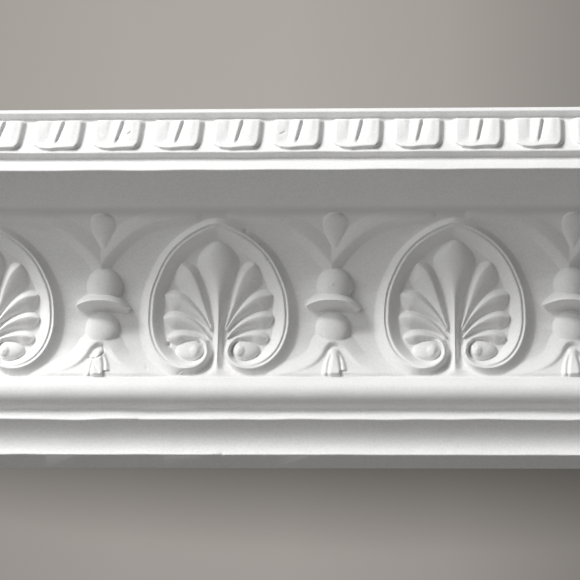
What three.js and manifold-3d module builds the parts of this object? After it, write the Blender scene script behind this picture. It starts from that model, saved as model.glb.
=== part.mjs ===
// Section of a cast plaster cornice with a palmette frieze and a leaf band, as one solid casting.
// Millimetres. X runs along the wall, -Y is out into the room, +Z is up to the ceiling.
// The origin is the centre of the strip that bears on the wall.

import * as THREE from 'three';
import { mergeVertices } from 'three/addons/utils/BufferGeometryUtils.js';
import Module from 'manifold-3d';

// Repeats along the length
const palmettePitch = 120;
const repeatCount = 3;
const leavesPerRepeat = 4;

// Profile, from the ceiling edge down to the wall edge
const topFilletHeight = 2.7;
const topSoffitDepth = 4.1;
const leafBedHeight = 25.4;
const stepSoffitDepth = 3.9;
const upperFilletHeight = 8.6;
const wideSoffitDepth = 28.1;
const coveRadius = 59.6;
const quirkDepth = 1.0;
const borderHeight = 4.1;
const bullnoseRadius = 7.5;
const lowerSoffitDepth = 3.8;
const lowerFilletHeight = 6.5;
const cavettoRadius = 12.5;
const undersideDepth = 10.4;

// Bearing strips against the wall and the ceiling; the corner behind them is cut away flat
const wallStripHeight = 38;
const ceilingStripDepth = 49;

// Relief heights above the cove and the leaf bed
const hoopHeight = 5.0;
const centreLeafHeight = 5.4;
const sideLeafHeight = 4.2;
const voluteEyeHeight = 5.4;
const bulbHeight = 8.0;
const collarHeight = 9.0;
const branchHeight = 3.6;
const budHeight = 4.4;
const hoodHeight = 5.4;
const trefoilHeight = 5.0;
const bandLeafHeight = 3.6;
const bandLeafGap = 1.6;
const bandLeafTopGap = 0.4;
const rootDepth = 3.0;

// Position of the leaf band's first rib past a palmette centre
const leafOffset = 11.2;

const coveSegments = 14;
const smallArcSegments = 4;
const hoopSteps = 22;
const centreLeafSteps = 8;
const sideLeafSteps = 4;
const bandSteps = 6;
const bandLeafRows = 3;
const domeSides = 10;
const domeRings = 5;

const plasterColour = 0xeeeeec;
const plasterRoughness = 0.82;

// Sizes worked out from the values above
const length = palmettePitch * repeatCount;
const leafPitch = palmettePitch / leavesPerRepeat;
const friezeChord = coveRadius * Math.SQRT2;
const drop = topFilletHeight + leafBedHeight + upperFilletHeight + coveRadius
  + borderHeight + bullnoseRadius + lowerFilletHeight + cavettoRadius;
const ceilingZ = drop - wallStripHeight / 2;
const bottomZ = -wallStripHeight / 2;
const cavettoOut = undersideDepth + cavettoRadius;
const bullnoseOut = cavettoOut + lowerSoffitDepth;
const borderOut = bullnoseOut + bullnoseRadius;
const coveOut = borderOut - quirkDepth;
const coveTopOut = coveOut + coveRadius;
const upperFilletOut = coveTopOut + wideSoffitDepth;
const leafBedOut = upperFilletOut + stepSoffitDepth;
const projection = leafBedOut + topSoffitDepth;
const bullnoseZ = bottomZ + cavettoRadius + lowerFilletHeight;
const coveBottomZ = bullnoseZ + bullnoseRadius + borderHeight;
const coveTopZ = coveBottomZ + coveRadius;
const leafBedBottomZ = coveTopZ + upperFilletHeight;
const leafBedTopZ = leafBedBottomZ + leafBedHeight;

const wasm = await Module();
wasm.setup();

// Joins the corners that lie on one another.
function joined(geometry) {
  const bare = geometry.clone();
  bare.deleteAttribute('normal');
  bare.deleteAttribute('uv');
  return mergeVertices(bare);
}

function solidOf(geometry) {
  const merged = joined(geometry);
  const vertProperties = new Float32Array(merged.attributes.position.array);
  const triVerts = new Uint32Array(merged.index.array);
  return new wasm.Manifold(new wasm.Mesh({ numProp: 3, vertProperties, triVerts }));
}

function geometryOf(solid) {
  const mesh = solid.getMesh();
  const geometry = new THREE.BufferGeometry();
  geometry.setAttribute('position', new THREE.BufferAttribute(mesh.vertProperties, mesh.numProp));
  geometry.setIndex(new THREE.BufferAttribute(mesh.triVerts, 1));
  return geometry;
}

// The profile runs up from the wall edge, out along each soffit and back behind the bearing strips.
function profileShape() {
  const shape = new THREE.Shape();
  shape.moveTo(0, -bottomZ);
  shape.lineTo(0, bottomZ);
  shape.absarc(-cavettoOut, bottomZ, cavettoRadius, 0, Math.PI / 2, false);
  shape.lineTo(-cavettoOut, bullnoseZ);
  shape.absarc(-bullnoseOut, bullnoseZ + bullnoseRadius, bullnoseRadius, -Math.PI / 2, -Math.PI, true);
  shape.lineTo(-borderOut, coveBottomZ);
  shape.absarc(-coveTopOut, coveBottomZ, coveRadius, 0, Math.PI / 2, false);
  shape.lineTo(-upperFilletOut, coveTopZ);
  shape.lineTo(-upperFilletOut, leafBedBottomZ);
  shape.lineTo(-leafBedOut, leafBedBottomZ);
  shape.lineTo(-leafBedOut, leafBedTopZ);
  shape.lineTo(-projection, leafBedTopZ);
  shape.lineTo(-projection, ceilingZ);
  shape.lineTo(ceilingStripDepth - projection, ceilingZ);
  shape.closePath();
  return shape;
}

// Arcs are laid as points here so that the cove is finer than the small mouldings.
function profilePoints() {
  const points = [];
  for (const curve of profileShape().curves) {
    const radius = curve.xRadius ?? 0;
    const segments = radius === 0 ? 1 : radius === coveRadius ? coveSegments : smallArcSegments;
    points.push(...curve.getPoints(segments).slice(0, -1));
  }
  return points;
}

function profileSolid() {
  const outline = new THREE.Shape(profilePoints());
  const geometry = new THREE.ExtrudeGeometry(outline, { depth: length, bevelEnabled: false });
  const along = new THREE.Vector3(1, 0, 0);
  const out = new THREE.Vector3(0, 1, 0);
  const up = new THREE.Vector3(0, 0, 1);
  geometry.applyMatrix4(new THREE.Matrix4().makeBasis(out, up, along));
  geometry.translate(-length / 2, 0, 0);
  return solidOf(geometry);
}

// A point on the frieze: x along, rise measured up the chord of the cove, height out of its surface
// along the diagonal that looks square on to the chord.
function onFrieze(x, rise, height) {
  const fromMiddle = Math.min(Math.abs(rise - friezeChord / 2), friezeChord / 2);
  const sink = Math.sqrt(coveRadius ** 2 - fromMiddle ** 2) - coveRadius / Math.SQRT2;
  const out = (rise + height - sink) / Math.SQRT2;
  const up = (rise - height + sink) / Math.SQRT2;
  return new THREE.Vector3(x, -(coveOut + out), coveBottomZ + up);
}

// A closed body: a grid of points standing in relief, and the same grid sunk under the ground.
function reliefBody(rows, columns, place) {
  const positions = [];
  const indices = [];
  const row = columns + 1;
  const layer = row * (rows + 1);
  for (const sunk of [false, true]) {
    for (let i = 0; i <= rows; i += 1) {
      for (let j = 0; j <= columns; j += 1) {
        positions.push(...place(i / rows, j, sunk).toArray());
      }
    }
  }
  const quad = (a, b, c, d) => indices.push(a, b, c, a, c, d);
  for (let i = 0; i < rows; i += 1) {
    for (let j = 0; j < columns; j += 1) {
      const a = i * row + j;
      quad(a, a + 1, a + row + 1, a + row);
      quad(layer + a, layer + a + row, layer + a + row + 1, layer + a + 1);
    }
  }
  for (let i = 0; i < rows; i += 1) {
    const near = i * row;
    const far = near + columns;
    quad(near, near + row, layer + near + row, layer + near);
    quad(far + row, far, layer + far, layer + far + row);
  }
  for (let j = 0; j < columns; j += 1) {
    const end = rows * row + j;
    quad(j + 1, j, layer + j, layer + j + 1);
    quad(end, end + 1, layer + end + 1, layer + end);
  }
  return outwardSolid(positions, indices);
}

// Turns the faces outward where a mirrored grid has them the other way round.
function outwardSolid(positions, indices) {
  const corner = (k) => new THREE.Vector3().fromArray(positions, 3 * indices[k]);
  let volume = 0;
  for (let k = 0; k < indices.length; k += 3) {
    volume += corner(k).dot(corner(k + 1).cross(corner(k + 2)));
  }
  if (volume < 0) {
    indices.reverse();
  }
  const geometry = new THREE.BufferGeometry();
  geometry.setAttribute('position', new THREE.Float32BufferAttribute(positions, 3));
  geometry.setIndex(indices);
  return solidOf(geometry);
}

// A band of relief along a path on the frieze. The path holds [across, up] pairs, as shares of the
// palmette pitch and of the cove's chord. The section holds [side, height] pairs: side runs from -1
// to 1 across the band, and height is a share of the crest.
function friezeBand(centreX, side, path, steps, section, widths, crest) {
  const points = path.map(([a, b]) => new THREE.Vector3(side * a * palmettePitch, b * friezeChord, 0));
  const curve = new THREE.CatmullRomCurve3(points, false, 'centripetal');
  return reliefBody(steps, section.length - 1, (s, column, sunk) => {
    const [offset, share] = section[column];
    const middle = curve.getPoint(s);
    const along = curve.getTangent(s);
    const reach = side * offset * palmettePitch * widths(s)[offset < 0 ? 0 : 1];
    const height = sunk ? -rootDepth : share * crest(s);
    return onFrieze(centreX + middle.x - along.y * reach, middle.y + along.x * reach, height);
  });
}

// A dome or bulb standing on the frieze, given by its centre and half sizes as shares.
function friezeDome(centreX, across, up, halfWidth, halfRise, height) {
  const geometry = new THREE.SphereGeometry(1, domeSides, domeRings);
  const position = geometry.attributes.position;
  for (let i = 0; i < position.count; i += 1) {
    const x = centreX + (across + halfWidth * position.getX(i)) * palmettePitch;
    const rise = (up + halfRise * position.getZ(i)) * friezeChord;
    const point = onFrieze(x, rise, height * position.getY(i));
    position.setXYZ(i, point.x, point.y, point.z);
  }
  const merged = joined(geometry);
  return outwardSolid([...merged.attributes.position.array], [...merged.index.array]);
}

const roundSection = [[-1, 0], [-0.45, 0.9], [0.45, 0.9], [1, 0]];
const ridgeSection = [[-1, 0], [-0.5, 0.66], [0, 1], [0.5, 0.66], [1, 0]];
const rolledSection = [[-1, 0], [-0.4, 1], [0.35, 0.8], [1, 0]];
const hoopSection = [[-1, 0], [-0.16, 1], [0.16, 1], [1, 0.1]];
const blend = (from, to, s) => from + (to - from) * THREE.MathUtils.smoothstep(s, 0, 1);

// Half width of a leaf along its length: narrow at the root, swelling, and rounded in at the tip.
const leafRootShare = 0.12;
const leafSwellEnd = 2.35;
const leafSwell = (s) => (
  leafRootShare + (1 - leafRootShare) * Math.sin(Math.min(1.12 * s ** 0.8, 1) * leafSwellEnd)
);

// The hoop runs from its apex round to the foot and curls in to a volute.
const hoopPath = [
  [-0.01, 0.928], [0.072, 0.886], [0.153, 0.814], [0.213, 0.725], [0.255, 0.611], [0.281, 0.509],
  [0.289, 0.407], [0.289, 0.317], [0.277, 0.234], [0.247, 0.156], [0.205, 0.095], [0.15, 0.058],
  [0.095, 0.062], [0.056, 0.105], [0.05, 0.165], [0.075, 0.218], [0.115, 0.226], [0.142, 0.19],
];

function hoopHalf(centreX, side) {
  const widths = (s) => {
    const curl = THREE.MathUtils.smoothstep(s, 0.55, 0.8);
    return [blend(0.04, 0.026, curl), blend(0.044, 0.018, curl)];
  };
  const crest = (s) => hoopHeight * blend(0.75, 1, Math.min(6 * s, 1));
  return friezeBand(centreX, side, hoopPath, hoopSteps, hoopSection, widths, crest);
}

// The egg-shaped boss inside each volute, as shares of the palmette pitch and of the cove's chord.
const voluteEye = { across: 0.112, up: 0.165, halfWidth: 0.05, halfRise: 0.056 };

// Each side leaf as root, bend and tip, then its half width.
const sideLeaves = [
  { path: [[0.03, 0.3], [0.085, 0.48], [0.135, 0.6], [0.17, 0.665]], halfWidth: 0.05 },
  { path: [[0.032, 0.27], [0.1, 0.41], [0.162, 0.49], [0.222, 0.51]], halfWidth: 0.036 },
  { path: [[0.036, 0.23], [0.1, 0.325], [0.165, 0.368], [0.228, 0.365]], halfWidth: 0.033 },
  { path: [[0.045, 0.2], [0.095, 0.262], [0.15, 0.276], [0.205, 0.25]], halfWidth: 0.028 },
];

function palmette(centreX) {
  const bodies = [];
  for (const side of [-1, 1]) {
    bodies.push(hoopHalf(centreX, side));
    bodies.push(friezeDome(centreX, side * voluteEye.across, voluteEye.up, voluteEye.halfWidth,
      voluteEye.halfRise, voluteEyeHeight));
    for (const leaf of sideLeaves) {
      const width = (s) => leaf.halfWidth * leafSwell(s);
      const crest = (s) => sideLeafHeight * blend(0.75, 1, s);
      bodies.push(friezeBand(centreX, side, leaf.path, sideLeafSteps, rolledSection,
        (s) => [width(s), width(s)], crest));
    }
  }
  bodies.push(centreLeaf(centreX));
  return bodies;
}

// The middle leaf: a thin stem at the foot that swells to a broad point.
function centreLeaf(centreX) {
  const path = [[0, 0.02], [0, 0.18], [0, 0.34], [0, 0.52], [0, 0.68], [0, 0.82]];
  const width = (s) => {
    const foot = 0.026 * Math.max(0, 1 - 5 * s);
    const swell = 0.082 * THREE.MathUtils.smoothstep(s, 0.32, 0.86);
    const tip = Math.sqrt(Math.max(0.03, 1 - Math.max(0, (s - 0.84) / 0.16) ** 2));
    return (0.02 + foot + swell) * tip;
  };
  const crest = (s) => centreLeafHeight * blend(0.8, 1, s);
  return friezeBand(centreX, 1, path, centreLeafSteps, ridgeSection, (s) => [width(s), width(s)], crest);
}

// The two bulbs of a stem, as shares of the cove's chord and of the palmette pitch.
const lowerBulb = { up: 0.3, halfWidth: 0.073, halfRise: 0.099 };
const upperBulb = { up: 0.546, halfWidth: 0.081, halfRise: 0.108 };

// The upright ornament between two palmettes, from its foot to its bud.
function stemOrnament(centreX) {
  const bodies = [
    friezeDome(centreX, 0, lowerBulb.up, lowerBulb.halfWidth, lowerBulb.halfRise, bulbHeight),
    friezeDome(centreX, 0, upperBulb.up, upperBulb.halfWidth, upperBulb.halfRise, bulbHeight),
    collar(centreX),
    bud(centreX),
  ];
  for (const side of [-1, 1]) {
    bodies.push(branch(centreX, side));
    bodies.push(hoodSide(centreX, side));
  }
  for (const side of [-1, 0, 1]) {
    bodies.push(trefoilLobe(centreX, side));
  }
  return bodies;
}

// A thin arched disc between the two bulbs, sharp along its lower edge.
function collar(centreX) {
  const path = [[-0.104, 0.435], [-0.06, 0.462], [0, 0.475], [0.06, 0.462], [0.104, 0.435]];
  const section = [[-1, 0], [-0.1, 1], [0.15, 0.9], [1, 0.15]];
  const swell = (s) => Math.sqrt(Math.max(0.04, 1 - (2 * s - 1) ** 2));
  const widths = (s) => [0.034 * swell(s), 0.042 * swell(s)];
  return friezeBand(centreX, 1, path, bandSteps, section, widths, (s) => collarHeight * swell(s));
}

function bud(centreX) {
  const path = [[0, 0.735], [0, 0.81], [0, 0.88], [0, 0.95]];
  const width = (s) => 0.006 + 0.046 * Math.sin(Math.min(1, 1.15 * s) * 2.2);
  const crest = (s) => budHeight * blend(0.7, 1, s);
  return friezeBand(centreX, 1, path, sideLeafSteps, roundSection, (s) => [width(s), width(s)], crest);
}

// A branch springs from the upper bulb and arches out to die into the next palmette's hoop.
function branch(centreX, side) {
  const path = [
    [0.002, 0.67], [0.055, 0.76], [0.115, 0.845], [0.19, 0.905], [0.27, 0.935], [0.35, 0.955], [0.42, 0.962],
  ];
  const section = [[-1, 0], [0.1, 1], [1, 0]];
  const width = (s) => blend(0.026, 0.016, s);
  const crest = (s) => branchHeight * blend(1, 0.35, s);
  return friezeBand(centreX, side, path, bandSteps, section, (s) => [width(s), width(s)], crest);
}

// Half of the ogee hood over the trefoil, sweeping out along the border.
function hoodSide(centreX, side) {
  const path = [
    [-0.012, 0.225], [0.03, 0.205], [0.062, 0.16], [0.098, 0.108], [0.15, 0.062], [0.21, 0.03], [0.27, 0.014],
  ];
  const section = [[-1, 0], [-0.15, 1], [0.15, 1], [1, 0]];
  const width = (s) => blend(0.032, 0.012, s);
  const crest = (s) => hoodHeight * blend(1, 0.3, s);
  return friezeBand(centreX, side, path, bandSteps, section, (s) => [width(s), width(s)], crest);
}

function trefoilLobe(centreX, side) {
  const middle = side === 0;
  const path = middle ? [[0, -0.005], [0, 0.07], [0, 0.13], [0, 0.185]]
    : [[0.034, -0.005], [0.044, 0.045], [0.043, 0.08], [0.034, 0.115]];
  const width = (s) => (middle ? 0.028 : 0.02) * Math.sqrt(Math.max(0.08, 1 - s ** 4));
  const crest = (s) => (middle ? 1 : 0.8) * trefoilHeight * blend(1, 0.85, s);
  return friezeBand(centreX, side || 1, path, sideLeafSteps, roundSection, (s) => [width(s), width(s)], crest);
}

// One leaf of the band: two dished lobes either side of a rib, standing out from the leaf bed.
const leafColumns = [-1, -0.8, -0.2, 0, 0.2, 0.8, 1];
const leafRelief = [0, 0.92, 0.6, 1.08, 0.6, 0.92, 0];
const leafFootShare = 0.08;
const leafFootLift = 0.18;
const leafFootNarrowing = 0.05;

function bandLeaf(centreX) {
  const halfWidth = (leafPitch - bandLeafGap) / 2;
  return reliefBody(bandLeafRows, leafColumns.length - 1, (s, column, sunk) => {
    const side = leafColumns[column];
    const foot = leafBedBottomZ + leafBedHeight * (leafFootShare + leafFootLift * side ** 2);
    const narrow = 1 - leafFootNarrowing * (1 - s);
    const rise = THREE.MathUtils.smoothstep(s, -0.01, 0.2);
    const height = sunk ? -rootDepth : bandLeafHeight * leafRelief[column] * (0.15 + 0.85 * rise);
    const z = foot + (leafBedTopZ - bandLeafTopGap - foot) * s;
    return new THREE.Vector3(centreX + side * halfWidth * narrow, -(leafBedOut + height), z);
  });
}

function trimBox() {
  const margin = 2 * (projection + drop);
  return solidOf(new THREE.BoxGeometry(length, margin, margin));
}

function cornice() {
  const bodies = [];
  for (let i = 0; i <= repeatCount; i += 1) {
    bodies.push(...palmette((i - repeatCount / 2) * palmettePitch));
  }
  for (let i = 0; i < repeatCount; i += 1) {
    bodies.push(...stemOrnament((i + 0.5 - repeatCount / 2) * palmettePitch));
  }
  for (let i = -1; i <= repeatCount * leavesPerRepeat; i += 1) {
    bodies.push(bandLeaf(i * leafPitch + leafOffset - length / 2));
  }
  let solid = profileSolid();
  for (const body of bodies) {
    solid = solid.add(body);
  }
  return solid.intersect(trimBox());
}

const plaster = new THREE.MeshStandardMaterial({
  color: plasterColour,
  roughness: plasterRoughness,
  metalness: 0,
});

const section = new THREE.Group();
const casting = new THREE.Mesh(geometryOf(cornice()), plaster);
casting.name = 'cornice';
section.add(casting);

export default section;
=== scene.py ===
"""Looks of a cast plaster cornice section with a palmette frieze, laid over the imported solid."""

import math

import bmesh
import bpy
import numpy as np
from mathutils import Matrix, Vector


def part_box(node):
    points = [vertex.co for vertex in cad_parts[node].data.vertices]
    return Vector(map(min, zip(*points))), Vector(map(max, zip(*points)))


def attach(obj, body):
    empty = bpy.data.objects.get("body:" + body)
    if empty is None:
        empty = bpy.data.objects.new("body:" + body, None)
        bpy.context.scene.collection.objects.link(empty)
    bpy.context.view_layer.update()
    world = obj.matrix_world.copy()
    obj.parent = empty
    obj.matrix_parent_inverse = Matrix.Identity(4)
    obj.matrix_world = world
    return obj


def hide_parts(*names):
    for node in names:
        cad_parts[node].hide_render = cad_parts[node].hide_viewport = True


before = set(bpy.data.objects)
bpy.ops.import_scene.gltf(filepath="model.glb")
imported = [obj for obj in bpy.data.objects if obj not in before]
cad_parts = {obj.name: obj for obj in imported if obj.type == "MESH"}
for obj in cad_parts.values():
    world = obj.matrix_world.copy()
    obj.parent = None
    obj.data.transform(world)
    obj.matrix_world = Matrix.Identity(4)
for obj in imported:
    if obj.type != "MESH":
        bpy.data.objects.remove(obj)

bl_info = {
    "name": "Plaster Cornice Section",
    "version": (1, 0, 0),
    "blender": (4, 5, 0),
    "location": "View3D > Sidebar > Cornice",
    "description": "Models a cast plaster cornice with a palmette frieze and a leaf band",
    "category": "Add Mesh",
}

CASTING_NODE = "cornice"
CASTING_LOW, CASTING_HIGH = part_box(CASTING_NODE)
REPEATS = 3
MM = 0.001
DIAGONAL = math.sqrt(0.5)
FAR_AWAY = 1e3
CHUNK = 20000
RIDGE_REACH = 12.0
LEAST_WIDTH = 0.05


def size(name, description, default):
    """A length property in metres, given in millimetres."""
    return bpy.props.FloatProperty(
        name=name, description=description, default=default * MM, min=0.0, unit="LENGTH", precision=4)


def tint(name, description, default):
    return bpy.props.FloatVectorProperty(
        name=name, description=description, default=default, subtype="COLOR", size=3, min=0.0, max=1.0)


def angle(name, description, degrees):
    """An angle property in radians, given in degrees."""
    return bpy.props.FloatProperty(
        name=name, description=description, default=math.radians(degrees), subtype="ANGLE")


def share_of_one(name, description, default):
    return bpy.props.FloatProperty(name=name, description=description, default=default, min=0.0, max=1.0)


def strength(name, description, default):
    return bpy.props.FloatProperty(name=name, description=description, default=default, min=0.0)


class CorniceSizes(bpy.types.PropertyGroup):
    top_fillet: size("Top fillet", "Height of the arris at the ceiling", 2.7)
    top_soffit: size("Top soffit", "Depth under the top fillet", 4.1)
    leaf_bed: size("Leaf bed", "Height of the bed behind the leaf band", 25.4)
    step_soffit: size("Step soffit", "Depth of the step under the leaf bed", 3.9)
    upper_fillet: size("Upper fillet", "Height of the fillet under the leaf band", 8.6)
    wide_soffit: size("Wide soffit", "Depth of the flat soffit above the frieze", 28.1)
    cove: size("Cove radius", "Radius of the coved frieze", 59.6)
    quirk: size("Quirk", "Set-back of the cove behind the border", 1.0)
    border: size("Border", "Height of the flat border under the frieze", 4.1)
    bullnose: size("Bullnose radius", "Radius of the roll under the border", 7.5)
    lower_soffit: size("Lower soffit", "Depth under the bullnose", 3.8)
    lower_fillet: size("Lower fillet", "Height of the fillet above the cavetto", 6.5)
    cavetto: size("Cavetto radius", "Radius of the lowest hollow", 12.5)
    underside: size("Underside", "Depth of the flat underside at the wall", 10.4)
    wall_strip: size("Wall strip", "Height of the strip that bears on the wall", 38.0)
    ceiling_strip: size("Ceiling strip", "Depth of the strip that bears on the ceiling", 49.0)
    soft_arris: size("Soft arris", "How far painted arrises are eased on each side", 0.22)


class CorniceRelief(bpy.types.PropertyGroup):
    hoop: size("Hoop", "Height of the hoop round each palmette", 4.7)
    hoop_groove: size("Hoop groove", "Depth of the groove along the hoop", 0.9)
    centre_leaf: size("Centre leaf", "Height of each palmette's middle leaf", 5.4)
    side_leaf: size("Side leaves", "Height of each palmette's side leaves", 4.0)
    volute_boss: size("Volute boss", "Height of the egg-shaped boss in each volute", 4.2)
    volute_eye: size("Volute eye", "Height of the button on each boss", 5.6)
    bulb: size("Bulbs", "Height of the two bulbs on each stem", 6.6)
    collar: size("Collar", "Height of the disc between the bulbs", 12.4)
    branch: size("Branches", "Height of the arching branches", 2.7)
    bud: size("Bud", "Height of the pear-shaped bud", 1.7)
    skirt: size("Skirt", "Height of the field under the hood's arms", 1.4)
    foot_line: size("Foot line", "Depth of the sunk line along the foot of the cove", 0.24)
    hood: size("Hood", "Height of the ogee hood at the foot", 3.6)
    trefoil: size("Trefoil", "Height of the trefoil under the hood", 3.7)
    trefoil_groove: size("Trefoil groove", "Depth of the grooves that part its tongues", 1.2)
    band_leaf: size("Band leaves", "Height of the leaves in the upper band", 4.4)
    column_step: size("Column step", "Spacing of the sculpted surface along the cornice", 0.36)
    row_step: size("Row step", "Spacing of the sculpted surface up the cornice", 0.34)
    triangle_budget: bpy.props.IntProperty(
        name="Triangle budget", description="Triangles kept in the finished casting",
        default=186000, min=20000, max=195000)


class PlasterLook(bpy.types.PropertyGroup):
    paint: tint("Paint", "Colour of the white paint", (0.88, 0.88, 0.875))
    paint_shade: tint("Paint shade", "Colour of the duller patches of paint", (0.81, 0.81, 0.805))
    # Painted shade: the colour and reach of the darkening painted into the frieze's top inner corner.
    corner_painted_shade: tint("Corner shade", "Colour of the painted shade in the frieze's top corner", (0.72, 0.72, 0.71))
    corner_reach: size("Corner reach", "How far the painted shade spreads from the corner", 5.2)
    roughness: share_of_one("Roughness", "Mean roughness of the matt paint", 0.78)
    speckle: share_of_one("Speckle", "Share of fine speckle in the dulling of the paint", 0.72)
    grain: size("Grain", "Size of the plaster's grain", 1.1)
    grain_height: size("Grain height", "Height of the plaster's grain", 0.07)


class StageLook(bpy.types.PropertyGroup):
    camera_distance: size("Camera distance", "From the lens to the frieze", 1138.0)
    camera_yaw: angle("Camera yaw", "Turn of the camera towards the right end", 2.8)
    camera_roll: angle("Camera roll", "Roll of the camera", -0.12)
    picture_width: size("Picture width", "Width of the picture at the frieze", 291.5)
    picture_middle_x: size("Picture middle", "How far left of the part's middle the camera aims", 22.8)
    picture_middle_rise: size("Picture rise", "How far up the cove's chord the camera aims", 44.6)
    floor_drop: size("Floor drop", "How far the floor lies under the cornice", 2400.0)
    floor_width: size("Floor width", "Width of the floor", 16000.0)
    key_power: strength("Key power", "Light of the main lamp on the cornice", 3.7)
    key_distance: size("Key distance", "How far off the main light stands", 3000.0)
    key_azimuth: angle("Key azimuth", "How far left of square the main light stands", 39.0)
    key_height: angle("Key height", "Height of the main light over the horizon", 25.2)
    key_width: size("Key width", "Width of the main light's softbox", 1300.0)
    side_power: strength("Side power", "Light of the low left lamp on the cornice", 1.0)
    side_distance: size("Side distance", "How far off the low left light stands", 2200.0)
    side_width: size("Side width", "Width of the low left light's softbox", 1500.0)
    room_light: strength("Room light", "Strength of the light from all around", 0.12)
    floor_colour: tint("Floor", "Colour of the plain floor", (0.48, 0.47, 0.455))


def in_mm(group):
    """Every length of a property group, in millimetres, as a dictionary."""
    return {key: getattr(group, key) / MM for key in group.bl_rna.properties.keys()
            if key not in {"rna_type", "name", "triangle_budget"}}


def smoothstep(x, low, high):
    t = np.clip((x - low) / (high - low), 0.0, 1.0)
    return t * t * (3.0 - 2.0 * t)


def smooth_path(points, step=0.3):
    """Points every step along a smooth curve through the given ones, and each one's share of its length."""
    p = np.array(points, dtype=float)
    knots = np.concatenate([[0.0], np.cumsum(np.linalg.norm(np.diff(p, axis=0), axis=1))])
    tangents = np.gradient(p, knots, axis=0)
    s = np.linspace(0.0, knots[-1], int(knots[-1] / step) + 2)
    k = np.clip(np.searchsorted(knots, s, side="right") - 1, 0, len(knots) - 2)
    span = (knots[k + 1] - knots[k])[:, None]
    t = (s[:, None] - knots[k][:, None]) / span
    start = (2 * t ** 3 - 3 * t ** 2 + 1) * p[k] + (t ** 3 - 2 * t ** 2 + t) * span * tangents[k]
    end = (3 * t ** 2 - 2 * t ** 3) * p[k + 1] + (t ** 3 - t ** 2) * span * tangents[k + 1]
    return start + end, s / knots[-1]


def measure(x, y, points, reach):
    """Distance from each place to the smooth path through points, its side (1 left, -1 right) and share."""
    path, shares = smooth_path(points)
    distance = np.full(x.shape, FAR_AWAY)
    side = np.zeros(x.shape)
    share = np.zeros(x.shape)
    low, high = path.min(axis=0) - reach, path.max(axis=0) + reach
    near = (x > low[0]) & (x < high[0]) & (y > low[1]) & (y < high[1])
    px, py = x[near], y[near]
    found = []
    along = np.diff(path, axis=0)
    lengths = (along ** 2).sum(axis=1)
    for i in range(0, len(px), CHUNK):
        cx, cy = px[i:i + CHUNK], py[i:i + CHUNK]
        gaps = (cx[:, None] - path[:, 0]) ** 2 + (cy[:, None] - path[:, 1]) ** 2
        nearest = gaps.argmin(axis=1)
        best_d = np.full(cx.shape, FAR_AWAY)
        best_side = np.zeros(cx.shape)
        best_share = np.zeros(cx.shape)
        for k in (np.clip(nearest - 1, 0, len(along) - 1), np.clip(nearest, 0, len(along) - 1)):
            dx, dy = cx - path[k, 0], cy - path[k, 1]
            t = np.clip((dx * along[k, 0] + dy * along[k, 1]) / lengths[k], 0.0, 1.0)
            ex, ey = dx - t * along[k, 0], dy - t * along[k, 1]
            d = np.hypot(ex, ey)
            cross = (along[k, 0] * ey - along[k, 1] * ex) / np.sqrt(lengths[k])
            better = d < best_d
            best_d = np.where(better, d, best_d)
            best_side = np.where(better, cross / np.maximum(d, 1e-6), best_side)
            best_share = np.where(better, shares[k] + t * (shares[k + 1] - shares[k]), best_share)
        found.append((best_d, best_side, best_share))
    distance[near], side[near], share[near] = np.concatenate(found, axis=1)
    return distance, side, share


def ridge(x, y, points, left, right, crest, left_power, right_power):
    """Relief of a ridge along a path, with its own width and swell on each side."""
    distance, side, share = measure(x, y, points, RIDGE_REACH)
    lean = 0.5 + 0.5 * np.clip(side, -1.0, 1.0)
    width = right(share) + (left(share) - right(share)) * lean
    t = np.clip(distance / np.maximum(width, LEAST_WIDTH), 0.0, 1.0)
    return crest(share) * (1.0 - t ** (right_power + (left_power - right_power) * lean))


def dome(x, y, centre, half_width, half_rise, height):
    """Relief of half an egg, round over its whole face."""
    t = ((x - centre[0]) / half_width) ** 2 + ((y - centre[1]) / half_rise) ** 2
    return height * np.clip(1.0 - t, 0.0, 1.0) ** 0.5


# Every place on the frieze is in millimetres: across from the ornament's middle, and up the cove's chord.
HOOP = [
    (-1.5, 77.6), (2.5, 77.0), (8.7, 74.6), (18.4, 68.6), (25.5, 61.1), (30.6, 51.7), (33.7, 42.9),
    (34.7, 34.3), (34.6, 26.8), (33.0, 19.7), (29.6, 13.3), (25.3, 9.2), (20.4, 6.9), (14.8, 6.1),
    (9.8, 7.1), (6.5, 9.8), (5.2, 13.6), (6.2, 17.0), (8.8, 19.2), (11.8, 19.8),
]
HOOP_OUTER_SLOPE = [
    (0.0, 3.8), (0.2, 4.0), (0.4, 5.2), (0.62, 7.0), (0.76, 6.4), (0.84, 3.8), (0.9, 2.4), (1.0, 1.8),
]
HOOP_INNER_SLOPE = [(0.0, 7.4), (0.5, 7.0), (0.7, 5.4), (0.82, 3.0), (0.9, 1.9), (1.0, 1.5)]
HOOP_REACH = 9.0
HOOP_FLAT, HOOP_FLAT_LOSS = 0.9, 0.4
HOOP_OUTER_POWER, HOOP_INNER_POWER = 1.3, 1.15
HOOP_LEAST_SLOPE = 0.2
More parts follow.
